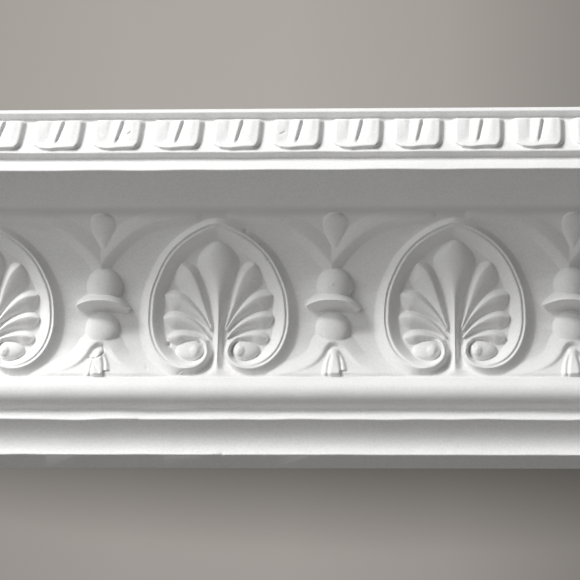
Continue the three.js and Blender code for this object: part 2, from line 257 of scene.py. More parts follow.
# By share of the hoop's length from its point: where it rises, curls and runs out, and where its groove lies.
HOOP_POINT, HOOP_CURL, HOOP_END = (0.0, 0.12), (0.76, 0.9), (0.93, 1.0)
HOOP_POINT_HEIGHT, HOOP_POINT_GAIN, HOOP_CURL_GAIN, HOOP_END_LOSS = 0.82, 0.18, 0.1, 0.7
GROOVE_START, GROOVE_END = (0.01, 0.05), (0.72, 0.84)
GROOVE_HALF_WIDTH, GROOVE_FULLNESS = 0.95, 1.25
VOLUTE_BOSS = (12.3, 13.8)
BOSS_INNER, BOSS_OUTER, BOSS_RISE = 5.0, 9.0, 4.9
VOLUTE_EYE = (11.4, 14.0)
EYE_RADIUS = 3.6
DIMPLE_ACROSS, DIMPLE_DOWN, DIMPLE_RADIUS, DIMPLE_DEPTH = 0.5, 0.7, 1.8, 0.6
CENTRE_LEAF = [
    (0.8, 14.0), (2.6, 6.6), (5.0, 3.4), (12.0, 1.9), (20.0, 2.0), (27.0, 2.5), (31.0, 3.0), (36.0, 3.8),
    (41.4, 4.9), (46.5, 6.6), (51.5, 8.7), (56.0, 10.4), (58.6, 10.8), (61.6, 10.2), (64.0, 8.8),
    (66.0, 7.0), (67.7, 5.0), (69.0, 2.6), (69.6, 0.6),
]
CENTRE_TIP_LENGTH = 8.0
# The middle leaf's swell up its length and at its root, and the power of its section from keel to cushion.
CENTRE_SWELL, CENTRE_ROOT, CENTRE_CUSHION = (25.0, 58.0), (0.0, 13.0), (35.0, 60.0)
CENTRE_LOW, CENTRE_LOW_GAIN = 0.78, 0.22
CENTRE_ROOT_HEIGHT, CENTRE_ROOT_GAIN = 0.2, 0.8
CENTRE_POWER, CENTRE_POWER_GAIN = 1.35, 0.9
# Each side leaf: its ridge from root to tip, its greatest width above and below, and where it starts to
# close, by share of its length.
SIDE_LEAVES = [
    ([(3.6, 25.6), (7.4, 37.2), (10.8, 47.2), (13.9, 53.3), (18.6, 58.0)], 3.8, 10.4, 0.78),
    ([(4.0, 24.4), (7.8, 30.4), (13.0, 36.2), (19.6, 40.9), (27.2, 42.2)], 3.2, 8.4, 0.76),
    ([(4.4, 20.6), (8.9, 25.4), (15.6, 29.6), (21.8, 31.3), (27.9, 30.5)], 2.7, 7.0, 0.76),
    ([(5.2, 18.8), (11.7, 21.2), (18.4, 22.2), (25.6, 20.4)], 2.3, 5.2, 0.72),
]
TIP_ROUNDNESS = 3.0
TIP_FALL, TIP_FALL_POWER = 0.5, 1.5
ROOT_ABOVE, ROOT_BELOW = 0.5, 0.7
WIDENING, WIDENING_POWER = (0.0, 0.9), 0.8
ROOT_HEIGHT, ROOT_GAIN, ROOT_RISE = 0.72, 0.28, (0.0, 0.8)
ABOVE_POWER, BELOW_POWER = 1.3, 1.8


def hoop_relief(a, r, h):
    """The hoop round a palmette: a flared outer slope, a grooved crest and a plain inner slope."""
    distance, side, share = measure(np.abs(a), r, HOOP, HOOP_REACH)
    outside = side > 0
    curl = smoothstep(share, *HOOP_CURL)
    flat = HOOP_FLAT - HOOP_FLAT_LOSS * curl
    width = np.where(
        outside,
        np.interp(share, *np.transpose(HOOP_OUTER_SLOPE)),
        np.interp(share, *np.transpose(HOOP_INNER_SLOPE)))
    t = np.clip((distance - flat) / (width - flat), 0.0, 1.0)
    slope = np.where(outside, (1.0 - t) ** HOOP_OUTER_POWER, 1.0 - t ** HOOP_INNER_POWER)
    groove = h["hoop_groove"] * np.clip(GROOVE_FULLNESS * (1.0 - distance / GROOVE_HALF_WIDTH), 0.0, 1.0)
    groove *= smoothstep(share, *GROOVE_START) * (1.0 - smoothstep(share, *GROOVE_END))
    crest = h["hoop"] * (HOOP_POINT_HEIGHT + HOOP_POINT_GAIN * smoothstep(share, *HOOP_POINT))
    crest *= 1.0 + HOOP_CURL_GAIN * curl
    crest *= 1.0 - HOOP_END_LOSS * smoothstep(share, *HOOP_END)
    return crest * slope - groove * (slope > HOOP_LEAST_SLOPE)


def volute_relief(b, r, h):
    """The egg-shaped boss that each volute curls round, drawn out to a point on its outer side."""
    across = (b - VOLUTE_BOSS[0]) / np.where(b < VOLUTE_BOSS[0], BOSS_INNER, BOSS_OUTER)
    rise = (r - VOLUTE_BOSS[1]) / BOSS_RISE
    boss = h["volute_boss"] * np.clip(1.0 - across ** 2 - rise ** 2, 0.0, 1.0) ** 0.5
    eye = dome(b, r, VOLUTE_EYE, EYE_RADIUS, EYE_RADIUS, h["volute_eye"])
    from_dimple = np.hypot(b - VOLUTE_EYE[0] - DIMPLE_ACROSS, r - VOLUTE_EYE[1] + DIMPLE_DOWN)
    dimple = DIMPLE_DEPTH * np.clip(1.0 - from_dimple / DIMPLE_RADIUS, 0.0, 1.0)
    return np.maximum(np.maximum(boss, eye) - dimple, 0.0)


def side_leaf_relief(b, r, leaf, height):
    """One side leaf: a ridge that widens from its root and closes at a rounded, falling tip."""
    path, above, below, closing = leaf

    def near_tip(s):
        return np.clip((s - closing) / (1.0 - closing), 0.0, 1.0)

    def rounded(s):
        return np.sqrt(1.0 - near_tip(s) ** TIP_ROUNDNESS)

    def width_above(s):
        return (ROOT_ABOVE + (above - ROOT_ABOVE) * smoothstep(s, *WIDENING)) * rounded(s)

    def width_below(s):
        return (ROOT_BELOW + (below - ROOT_BELOW) * smoothstep(s, *WIDENING) ** WIDENING_POWER) * rounded(s)

    def crest(s):
        rising = height * (ROOT_HEIGHT + ROOT_GAIN * smoothstep(s, *ROOT_RISE))
        return rising * (1.0 - TIP_FALL * near_tip(s) ** TIP_FALL_POWER)

    return ridge(b, r, path, width_above, width_below, crest, ABOVE_POWER, BELOW_POWER)


def centre_leaf_relief(b, r, h):
    """The middle leaf: a thin keel at its root that swells into a pointed cushion."""
    rises, widths = np.transpose(CENTRE_LEAF)
    t = np.clip(b / np.interp(r, rises, widths, left=LEAST_WIDTH, right=LEAST_WIDTH), 0.0, 1.0)
    tip = np.sqrt(np.clip((rises[-1] - r) / CENTRE_TIP_LENGTH, 0.0, 1.0))
    swell = CENTRE_LOW + CENTRE_LOW_GAIN * smoothstep(r, *CENTRE_SWELL)
    swell = swell * (CENTRE_ROOT_HEIGHT + CENTRE_ROOT_GAIN * smoothstep(r, *CENTRE_ROOT))
    power = CENTRE_POWER + CENTRE_POWER_GAIN * smoothstep(r, *CENTRE_CUSHION)
    return h["centre_leaf"] * swell * tip * (1.0 - t ** power)


def palmette_relief(a, r, h):
    """Hoop, volutes, middle leaf and side leaves, about the palmette's own middle."""
    b = np.abs(a)
    side_leaves = [side_leaf_relief(b, r, leaf, h["side_leaf"]) for leaf in SIDE_LEAVES]
    return np.maximum.reduce([
        hoop_relief(a, r, h), *side_leaves, centre_leaf_relief(b, r, h), volute_relief(b, r, h)])


STEM_HOOD = [
    (-1.5, 18.9), (1.6, 18.6), (4.6, 16.4), (7.2, 12.6), (10.4, 9.0), (15.4, 5.9), (23.0, 3.3), (31.0, 1.4),
]
# Widths of a ridge that narrows evenly: at its start, and how much is lost by its end.
HOOD_OUTER, HOOD_INNER = (7.6, 2.6), (3.6, 0.6)
HOOD_FALL, HOOD_OUTER_POWER, HOOD_INNER_POWER = 0.8, 1.3, 1.4
STEM_BRANCH = [
    (-1.6, 55.6), (3.7, 62.3), (10.2, 68.9), (16.8, 73.9), (23.3, 77.1), (30.5, 79.3), (39.0, 80.8),
    (49.0, 81.6),
]
BRANCH_OUTER, BRANCH_INNER = (8.4, 4.0), (5.6, 2.2)
BRANCH_FOOT, BRANCH_FALL, BRANCH_POWER = 54.5, 0.6, 1.3
COLLAR_RIDGE = [(-13.0, 36.8), (-7.5, 38.8), (0.5, 39.6), (7.5, 38.6), (14.2, 35.4)]
COLLAR_MIDDLE, COLLAR_HALF_WIDTH, COLLAR_POWER = 0.6, 13.8, 0.6
COLLAR_REACH, COLLAR_ABOVE, COLLAR_BELOW = 7.0, 4.4, 6.2
COLLAR_ABOVE_POWER, COLLAR_BELOW_POWER = 1.25, 0.8
# Each bulb's middle, half width and half rise, and how high the lower one is against the upper.
LOWER_BULB, UPPER_BULB = ((0.6, 25.2), 8.6, 8.4), ((1.5, 46.8), 9.0, 9.0)
LOWER_BULB_SHARE = 0.74
SKIRT_EDGE, SKIRT_RUN_OUT = (-0.6, 1.6), (18.0, 31.0)
BUD_MIDDLE = 2.2
BUD_RISE = [60.6, 64.0, 66.7, 70.0, 74.0, 78.0, 80.6, 82.2, 83.2]
BUD_WIDTH = [0.3, 1.4, 2.5, 4.0, 5.6, 6.4, 6.0, 4.6, 2.4]
BUD_POWER = 0.7
TREFOIL_MIDDLE = -0.5
TREFOIL_POWER = 3.4
TREFOIL_TIP = (13.6, 16.2)
TONGUE_SHARE, TONGUE_GROOVE_WIDTH, TONGUE_GROOVE_END = 0.46, 0.75, (10.0, 14.0)
# The hollow broken into the right tongue: its middle, its half width and half rise, and what is left there.
TREFOIL_POCKET = (4.6, 2.6)
POCKET_HALF_WIDTH, POCKET_HALF_RISE, POCKET_HEIGHT = 2.3, 1.6, 0.3
TREFOIL_HALF_WIDTH = [(-1.0, 7.4), (4.0, 7.4), (8.0, 6.3), (11.5, 4.4), (14.0, 2.6), (16.2, 0.8)]
# How far right of its foot each stem stands above the hood, and where it leans over.
STEM_LEANS = (0.0, -2.2, -2.2)
LEAN_RISE = (10.0, 26.0)


def narrowing(start, loss):
    """The width of a ridge that narrows evenly, as a function of the share of its length."""
    return lambda share: start - loss * share


def stem_relief(a, r, h):
    """The upright ornament between two palmettes, about its own middle."""
    b = np.abs(a)
    branch = ridge(
        b, r, STEM_BRANCH, narrowing(*BRANCH_OUTER), narrowing(*BRANCH_INNER),
        lambda s: h["branch"] * (1.0 - BRANCH_FALL * s), BRANCH_POWER, BRANCH_POWER)
    hood = ridge(
        b, r, STEM_HOOD, narrowing(*HOOD_OUTER), narrowing(*HOOD_INNER),
        lambda s: h["hood"] * (1.0 - HOOD_FALL * s), HOOD_OUTER_POWER, HOOD_INNER_POWER)
    under_hood = np.interp(b, *np.transpose(STEM_HOOD)) - r
    width = np.interp(r, BUD_RISE, BUD_WIDTH, left=LEAST_WIDTH, right=LEAST_WIDTH)
    return np.maximum.reduce([
        dome(a, r, *LOWER_BULB, LOWER_BULB_SHARE * h["bulb"]),
        dome(a, r, *UPPER_BULB, h["bulb"]),
        collar_relief(a, r, h),
        branch * (r > BRANCH_FOOT),
        hood,
        h["skirt"] * smoothstep(under_hood, *SKIRT_EDGE) * (1.0 - smoothstep(b, *SKIRT_RUN_OUT)),
        h["bud"] * (1.0 - np.clip(np.abs(a - BUD_MIDDLE) / width, 0, 1) ** 2) ** BUD_POWER,
        trefoil_relief(a, r, h)])


def collar_relief(a, r, h):
    """The tilted disc between the bulbs, steep above its rim and hollow below it."""
    spread = np.sqrt(np.clip(1.0 - ((a - COLLAR_MIDDLE) / COLLAR_HALF_WIDTH) ** 2, 0.0, 1.0))
    distance, side, _ = measure(a, r, COLLAR_RIDGE, COLLAR_REACH)
    reach = np.where(side > 0, COLLAR_ABOVE, COLLAR_BELOW) * np.maximum(spread, LEAST_WIDTH)
    fall = np.where(side > 0, COLLAR_ABOVE_POWER, COLLAR_BELOW_POWER)
    return h["collar"] * spread ** COLLAR_POWER * (1.0 - np.clip(distance / reach, 0, 1) ** fall)


def trefoil_relief(a, r, h):
    """The pendant leaf under the hood: a middle tongue and one on each side, parted by two grooves."""
    across = np.abs(a - TREFOIL_MIDDLE)
    half_width = np.interp(r, *np.transpose(TREFOIL_HALF_WIDTH))
    relief = h["trefoil"] * (1.0 - np.clip(across / half_width, 0.0, 1.0) ** TREFOIL_POWER)
    relief *= 1.0 - smoothstep(r, *TREFOIL_TIP)
    groove = np.exp(-((across - TONGUE_SHARE * half_width) / TONGUE_GROOVE_WIDTH) ** 2)
    groove *= 1.0 - smoothstep(r, *TONGUE_GROOVE_END)
    relief -= h["trefoil_groove"] * groove
    pocket = np.hypot((a - TREFOIL_POCKET[0]) / POCKET_HALF_WIDTH, (r - TREFOIL_POCKET[1]) / POCKET_HALF_RISE)
    return np.where(pocket < 1.0, np.minimum(relief, POCKET_HEIGHT), relief)


# The band leaf, across from its groove: its foot and right edge by share of the bed's height, and its
# section over the rib and under it.
LEAF_FOOT = [
    (-13.9, 0.60), (-13.4, 0.35), (-11.4, 0.21), (-8.0, 0.11), (-3.0, 0.07), (2.0, 0.083), (14.0, 0.09),
]
LEAF_RIGHT = [
    (0.08, 2.6), (0.1, 6.2), (0.13, 9.2), (0.18, 11.4), (0.27, 12.6), (0.45, 13.1), (0.825, 13.4),
    (1.0, 13.5),
]
LEAF_LEFT, LEAF_TOP = -14.0, 0.965
LEAF_OFFSET = 11.2
LEAVES_PER_REPEAT = 4
LEAF_SECTION = [
    (-14.0, 0.50), (-12.2, 0.70), (-10.2, 0.62), (-7.6, 0.46), (-5.6, 0.34), (-4.9, 0.40), (-4.0, 0.66),
    (-2.8, 0.86), (-1.5, 0.92), (-0.8, 0.86), (-0.1, 0.38), (0.5, 0.38), (1.3, 0.66), (2.6, 0.80),
    (5.0, 0.90), (7.4, 0.90), (10.0, 0.82), (14.5, 0.76),
]
PLAIN_SECTION = [
    (-14.0, 0.46), (-11.4, 0.56), (-6.0, 0.60), (0.0, 0.70), (5.0, 0.82), (8.0, 0.86), (14.5, 0.80),
]
# How the leaf's edges ease off, in millimetres on the left, right, foot and top.
LEAF_EASE_LEFT, LEAF_EASE_RIGHT, LEAF_EASE_FOOT, LEAF_EASE_TOP = 1.5, 2.6, 1.0, 0.8
LEAF_EASE_POWER = 1.35
LEAF_SHOULDER, LEAF_SHOULDER_RISE = 3.0, (0.78, 0.97)
LEAF_RIGHT_SHOULDER, LEAF_RIGHT_SHOULDER_RISE = 2.0, (0.84, 1.0)
# The rib slants to the right as it rises, about the height of its own foot.
RIB_SLANT, RIB_SLANT_FOOT = 4.4, 0.29
RIB_RISE = (0.22, 0.42)
# The slant and the widening of the section fade out away from the groove, at these distances.
SLANT_ZONE, SLANT_ZONE_EASE = 11.0, (0.0, 6.0)
RIB_ZONE, RIB_ZONE_EASE = 6.0, (0.0, 3.0)
RIB_SCALE, RIB_SCALE_GAIN, RIB_SCALE_RISE = 0.86, 0.26, (0.35, 0.9)
LEAF_FOOT_SOFTENING, LEAF_FOOT_SOFT_PART = 0.9, (-8.0, 6.0)
LEAF_TOP_LIP = 0.3
LEAF_LOW_HEIGHT, LEAF_HEIGHT_GAIN = 0.82, 0.22


def band_leaf_relief(x, v, bed_rise, h):
    """One leaf of the upper band: two dished lobes beside a wedge-shaped rib with a groove."""
    right = np.interp(v, *np.transpose(LEAF_RIGHT))
    foot = np.interp(x, *np.transpose(LEAF_FOOT))
    shoulder = LEAF_SHOULDER * smoothstep(v, *LEAF_SHOULDER_RISE) ** 2
    right -= LEAF_RIGHT_SHOULDER * smoothstep(v, *LEAF_RIGHT_SHOULDER_RISE) ** 2
    inside = np.minimum.reduce([
        (x - LEAF_LEFT - shoulder) / LEAF_EASE_LEFT,
        (right - x) / LEAF_EASE_RIGHT,
        (v - foot) * bed_rise / (LEAF_EASE_FOOT + LEAF_FOOT_SOFTENING * smoothstep(x, *LEAF_FOOT_SOFT_PART)),
        (LEAF_TOP - v) * bed_rise / LEAF_EASE_TOP + LEAF_TOP_LIP])
    edge = np.clip(inside, 0.0, 1.0)
    edge = 1.0 - (1.0 - edge) ** LEAF_EASE_POWER
    slant = RIB_SLANT * (v - RIB_SLANT_FOOT) * smoothstep(SLANT_ZONE - np.abs(x), *SLANT_ZONE_EASE)
    widened = RIB_SCALE_GAIN * smoothstep(v, *RIB_SCALE_RISE)
    across = (x - slant) / (RIB_SCALE + widened * smoothstep(RIB_ZONE - np.abs(x), *RIB_ZONE_EASE))
    ribbed = smoothstep(v, *RIB_RISE)
    height = ribbed * np.interp(across, *np.transpose(LEAF_SECTION))
    height += (1.0 - ribbed) * np.interp(x, *np.transpose(PLAIN_SECTION))
    return h["band_leaf"] * height * (LEAF_LOW_HEIGHT + LEAF_HEIGHT_GAIN * v) * edge


def profile_outline(s):
    """The moulding's profile from the wall up to the ceiling, as (out, up) points from the wall edge."""
    def arc(cx, cy, radius, start, end, count):
        turn = np.linspace(math.radians(start), math.radians(end), count)
        return list(zip(cx + radius * np.cos(turn), cy + radius * np.sin(turn)))

    lower_out = s["underside"] + s["cavetto"]
    roll_out = lower_out + s["lower_soffit"]
    fillet_top = s["cavetto"] + s["lower_fillet"]
    border_out = roll_out + s["bullnose"]
    cove_out = border_out - s["quirk"]
    cove_up = fillet_top + s["bullnose"] + s["border"]
    cove_top_out = cove_out + s["cove"]
    cove_top_up = cove_up + s["cove"]
    upper_out = cove_top_out + s["wide_soffit"]
    bed_out = upper_out + s["step_soffit"]
    bed_up = cove_top_up + s["upper_fillet"]
    bed_top = bed_up + s["leaf_bed"]
    crown_out = bed_out + s["top_soffit"]
    points = [(0.0, 0.0)]
    points += arc(lower_out, 0.0, s["cavetto"], 180, 90, 40)
    points += [(lower_out, fillet_top)]
    points += arc(roll_out, fillet_top + s["bullnose"], s["bullnose"], -90, 0, 30)
    points += [(border_out, cove_up)]
    lower = np.array(points)
    upper = np.array(
        arc(cove_top_out, cove_up, s["cove"], 180, 90, 160)
        + [(upper_out, cove_top_up), (upper_out, bed_up), (bed_out, bed_up), (bed_out, bed_top),
           (crown_out, bed_top), (crown_out, bed_top + s["top_fillet"])])
    places = {"cove": (cove_out, cove_up), "bed": (bed_out, bed_up), "bed_top": (bed_out, bed_top)}
    return lower, upper, places


# Spacing of the trial rows and of the rows on the flats, and the room kept clear at an arris, in eases.
TRIAL_STEP, FLAT_STEP, ARRIS_CLEARANCE = 0.04, 0.8, 1.6
ARRIS_ANGLE = math.radians(20)


def to_face(points, base):
    """(out, up) points as (rise, height) in the diagonal frame that looks square on to the cove's chord."""
    out, up = points[..., 0] - base[0], points[..., 1] - base[1]
    return (out + up) * DIAGONAL, (out - up) * DIAGONAL


class Profile:
    """Height of the plain moulding over the diagonal plane, at any rise."""

    def __init__(self, s):
        lower, upper, places = profile_outline(s)
        self.base = places["cove"]
        rise_low, height_low = to_face(lower, self.base)
        rise_up, height_up = to_face(upper, self.base)
        keep = rise_up > rise_low[-1] + 0.02
        self.rise = np.concatenate([rise_low, rise_up[keep]])
        self.height = np.concatenate([height_low, height_up[keep]])
        self.bottom, self.top = self.rise[0], self.rise[-1]
        self.chord = s["cove"] / DIAGONAL
        self.bed_bottom = to_face(np.array([places["bed"]]), self.base)[0][0]
        self.bed_top = to_face(np.array([places["bed_top"]]), self.base)[0][0]

    def at(self, rise):
        return np.interp(rise, self.rise, self.height)

    def arrises(self):
        """Rises of the profile's sharp corners."""
        lean = np.arctan2(np.diff(self.height), np.diff(self.rise))
        return self.rise[1:-1][np.abs(np.diff(lean)) > ARRIS_ANGLE]

    def rows(self, step, ease):
        """Rises of the surface's rows: close on the ornament, wide on the flats, a pair at each arris."""
        fine = np.linspace(self.bottom, self.top, int((self.top - self.bottom) / TRIAL_STEP))
        ornament = (fine > -0.5) & (fine < self.chord + 1.5)
        ornament |= (fine > self.bed_bottom - 1.0) & (fine < self.bed_top + 1.0)
        spacing = np.where(ornament, step, FLAT_STEP)
        passed = np.concatenate([[0.0], np.cumsum(np.diff(fine) / spacing[1:])])
        rows = np.interp(np.linspace(0.0, passed[-1], int(passed[-1]) + 2), passed, fine)
        arrises = self.arrises()
        gap = np.abs(rows[:, None] - arrises).min(axis=1)
        gap[[0, -1]] = 1.0
        pairs = np.concatenate([arrises - ease, arrises + ease])
        return np.unique(np.round(np.concatenate([rows[gap > ARRIS_CLEARANCE * ease], pairs]), 3))


# Where the run mouldings are uneven: rise of the line, its reach and the size of the wander.
UNEVEN_LINES = [
    (-37.8, 5.0, 0.14), (-20.1, 2.4, 0.26), (-16.6, 2.4, 0.26), (-6.0, 5.0, 0.16), (2.0, 5.0, 0.12),
    (104.2, 4.0, 0.12), (112.0, 4.0, 0.14), (130.0, 4.0, 0.12),
]
UNEVEN_SEED, UNEVEN_PERIOD, UNEVEN_WAVES = 3, 44.0, 5
STEADY_ENDS = 5


def wander(x, seed, period, amount):
    """A smooth, repeatable unevenness along the cornice."""
    dice = np.random.default_rng(seed)
    total = np.zeros_like(x)
    for _ in range(UNEVEN_WAVES):
        wave = period * dice.uniform(0.6, 1.9)
        total += dice.uniform(0.4, 1.0) * np.sin(2 * math.pi * x / wave + dice.uniform(0, 2 * math.pi))
    return amount * total / 2.0


def blurred(values, kept):
    """A light blur both ways, so that crests and valleys look cast and painted."""
    for axis in (0, 1):
        padded = np.pad(values, [(1, 1) if k == axis else (0, 0) for k in (0, 1)], mode="edge")
        before = np.take(padded, range(0, values.shape[axis]), axis=axis)
        after = np.take(padded, range(2, values.shape[axis] + 2), axis=axis)
        values = kept * values + 0.5 * (1.0 - kept) * (before + after)
    return values


# Casting flaws, in millimetres across from the part's middle and up the diagonal. Each pit has its radius
# and depth, which is negative for a nub; each crack has its path, half width and depth.
PITS = [
    (-79.5, 125.8, 0.9, 0.9), (-95.7, 5.0, 0.7, 0.6), (-85.2, 17.0, 1.5, 1.8), (-56.9, -37.6, 1.2, 0.5),
    (-99.0, -20.2, 1.8, 0.35), (-69.4, 18.2, 0.9, 0.9), (-68.2, 14.8, 0.8, 0.8), (67.0, 17.6, 1.1, 0.9),
    (70.4, 16.0, 0.8, 0.8), (-1.8, 47.4, 0.8, -0.5), (-4.0, 46.2, 0.6, -0.4), (-78.0, 3.2, 0.8, -0.4),
    (-45.6, 74.4, 0.9, 0.9), (-42.2, 71.4, 0.8, 0.8), (-38.4, 67.8, 0.7, 0.8), (-34.6, 59.8, 0.8, 0.7),
]
PIT_POWER = 0.7
CRACKS = [
    ([(-105.2, 123.0), (-103.6, 122.6), (-102.0, 123.6)], 0.7, 1.0),
    ([(-121.6, 122.6), (-118.8, 123.4), (-116.8, 122.2)], 0.6, 0.5),
    ([(-122.0, 120.8), (-119.4, 121.2)], 0.6, 0.5),
    ([(-30.0, 123.4), (-27.6, 122.2), (-24.8, 123.4)], 0.6, 0.6),
    ([(-125.7, 10.4), (-122.2, 10.1), (-119.6, 11.6), (-118.1, 13.1), (-119.1, 16.7)], 0.55, 0.9),
    ([(-121.8, 6.0), (-119.6, 3.4)], 0.6, 0.7),
    ([(-79.4, 2.4), (-77.0, 4.2)], 0.6, 0.5),
    ([(-77.8, 2.0), (-75.6, 3.4)], 0.6, 0.5),
]
CRACK_REACH = 2.0


def add_flaws(worked, x, rise):
    """Sinks the pits and cracks of the cast, and raises its few nubs."""
    grid_x, grid_r = np.meshgrid(x, rise)
    for across, up, radius, depth in PITS:
        away = np.hypot(grid_x - across, grid_r - up) / radius
        worked -= depth * np.clip(1.0 - away, 0.0, 1.0) ** PIT_POWER
    for points, half_width, depth in CRACKS:
        distance, _, _ = measure(grid_x, grid_r, points, CRACK_REACH)
        worked -= depth * np.clip(1.0 - distance / half_width, 0.0, 1.0)


def unevenness(x, rise, profile):
    """How far the hand-run mouldings stray up or down along the cornice."""
    grid_r = rise[:, None]
    ends = smoothstep(grid_r, profile.bottom, profile.bottom + STEADY_ENDS)
    ends = ends * (1 - smoothstep(grid_r, profile.top - STEADY_ENDS, profile.top))
    drift = np.zeros((len(rise), len(x)))
    for seed, (middle, reach, amount) in enumerate(UNEVEN_LINES):
        strayed = wander(x, seed + UNEVEN_SEED, UNEVEN_PERIOD, amount)
        drift += np.exp(-((grid_r - middle) / reach) ** 2) * strayed[None, :]
    return drift * ends


# The foot line lies between each palmette and each stem, by distance from the palmette's middle.
FOOT_LINE_START, FOOT_LINE_END = (8.0, 16.0), (42.0, 52.0)
FOOT_LINE_RISE = 1.1
# How far past the foot and the top of the cove the ornament's rows reach, and where it fades in and out.
FRIEZE_BELOW, FRIEZE_ABOVE = 0.6, 4.0
FADE_IN, FADE_OUT_FROM, FADE_OUT_TO = (0.2, 3.2), 1.2, 0.6
BLUR_KEPT = 0.6


def foot_line_depth(a, r, h):
    """The sunk line along the foot of the cove, which runs out under each palmette and each stem."""
    present = smoothstep(np.abs(a), *FOOT_LINE_START) * (1.0 - smoothstep(np.abs(a), *FOOT_LINE_END))
    return h["foot_line"] * present * np.clip(1.0 - np.abs(r - FOOT_LINE_RISE), 0.0, 1.0)


def sculpted_height(x, rise, profile, relief, length):
    """Height of the whole worked surface, on the grid of columns x and rows rise."""
    pitch = length / REPEATS
    columns_per_repeat = (len(x) - 1) // REPEATS
    a = x[:columns_per_repeat] - x[0]
    a = np.where(a > pitch / 2, a - pitch, a)
    frieze = (rise > -FRIEZE_BELOW) & (rise < profile.chord + FRIEZE_ABOVE)
    grid_a, grid_r = np.meshgrid(a, rise[frieze])
    palmettes = np.tile(palmette_relief(grid_a, grid_r, relief), (1, REPEATS + 1))[:, :len(x)]
    foot = np.tile(foot_line_depth(grid_a, grid_r, relief), (1, REPEATS + 1))[:, :len(x)]
    for place, lean in enumerate(STEM_LEANS):
        middle = x[0] + (place + 0.5) * pitch
        near = np.abs(x - middle) < pitch / 2
        across, up = np.meshgrid(x[near] - middle, rise[frieze])
        stem = stem_relief(across - lean * smoothstep(up, *LEAN_RISE), up, relief)
        palmettes[:, near] = np.maximum(palmettes[:, near], stem)
    fade_out = smoothstep(rise[frieze], profile.chord - FADE_OUT_FROM, profile.chord + FADE_OUT_TO)
    fade = smoothstep(rise[frieze], *FADE_IN) * (1.0 - fade_out)
    worked = np.zeros((len(rise), len(x)))
    worked[frieze] = palmettes * fade[:, None] - foot

    bed = (rise > profile.bed_bottom) & (rise < profile.bed_top)
    leaf_pitch = pitch / LEAVES_PER_REPEAT
    across = np.mod(x - x[0] - LEAF_OFFSET + leaf_pitch / 2, leaf_pitch) - leaf_pitch / 2
    grid_x, grid_r = np.meshgrid(across, rise[bed])
    bed_rise = profile.bed_top - profile.bed_bottom
    share = (grid_r - profile.bed_bottom) / bed_rise
    worked[bed] = band_leaf_relief(grid_x, share, bed_rise, relief)
    worked = blurred(worked, BLUR_KEPT)

    add_flaws(worked, x, rise)
    return profile.at(rise)[:, None] + worked


SMOOTH_ANGLE = math.radians(38)


def add_casting(context):
    """Builds the sculpted face on a fine grid, closes it behind and thins it to its triangle budget."""
    sizes = in_mm(context.scene.cornice_sizes)
    relief = in_mm(context.scene.cornice_relief)
    length = (CASTING_HIGH[0] - CASTING_LOW[0]) / MM
    profile = Profile(sizes)
    per_repeat = int(length / REPEATS / relief["column_step"])
    x = np.linspace(-length / 2, length / 2, per_repeat * REPEATS + 1)
    rise = profile.rows(relief["row_step"], sizes["soft_arris"])
    height = sculpted_height(x, rise, profile, relief, length)
    moved = rise[:, None] - unevenness(x, rise, profile)

    deselect_all()
    bpy.ops.mesh.primitive_grid_add(x_subdivisions=len(x) - 1, y_subdivisions=len(rise) - 1, size=2.0)
    casting = context.object
    casting.name = "plaster_casting"
    mesh = casting.data
    flat = np.empty(len(mesh.vertices) * 3)
    mesh.vertices.foreach_get("co", flat)
    flat = flat.reshape(-1, 3)
    column = np.rint((flat[:, 0] + 1.0) / 2.0 * (len(x) - 1)).astype(int)
    row = np.rint((flat[:, 1] + 1.0) / 2.0 * (len(rise) - 1)).astype(int)
    wall_foot = CASTING_LOW[2] / MM
    h, r = height[row, column], moved[row, column]
    out = profile.base[0] + (r + h) * DIAGONAL
    up = wall_foot + profile.base[1] + (r - h) * DIAGONAL
    out = np.clip(out, 0.0, -CASTING_LOW[1] / MM)
    up = np.clip(up, wall_foot, CASTING_HIGH[2] / MM)
    mesh.vertices.foreach_set("co", np.column_stack([x[column], -out, up]).ravel() * MM)
    close_behind(mesh, column, row, len(x), len(rise), sizes)

    triangles = sum(len(p.vertices) - 2 for p in mesh.polygons)
    thin = casting.modifiers.new("Thin", "DECIMATE")
    thin.ratio = context.scene.cornice_relief.triangle_budget / triangles
    bpy.ops.object.modifier_apply(modifier=thin.name)
    bpy.ops.object.shade_smooth_by_angle(angle=SMOOTH_ANGLE)
    # The inner corner at the top of the cove, towards which the material paints shade.
    corner_out, corner_up = profile.base[0] + sizes["cove"], profile.base[1] + sizes["cove"]
    corner = (0.0, -corner_out * MM, (wall_foot + corner_up) * MM)
    casting.data.materials.append(plaster_material(context.scene.cornice_look, corner))
    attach(casting, "root")
    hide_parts(CASTING_NODE)


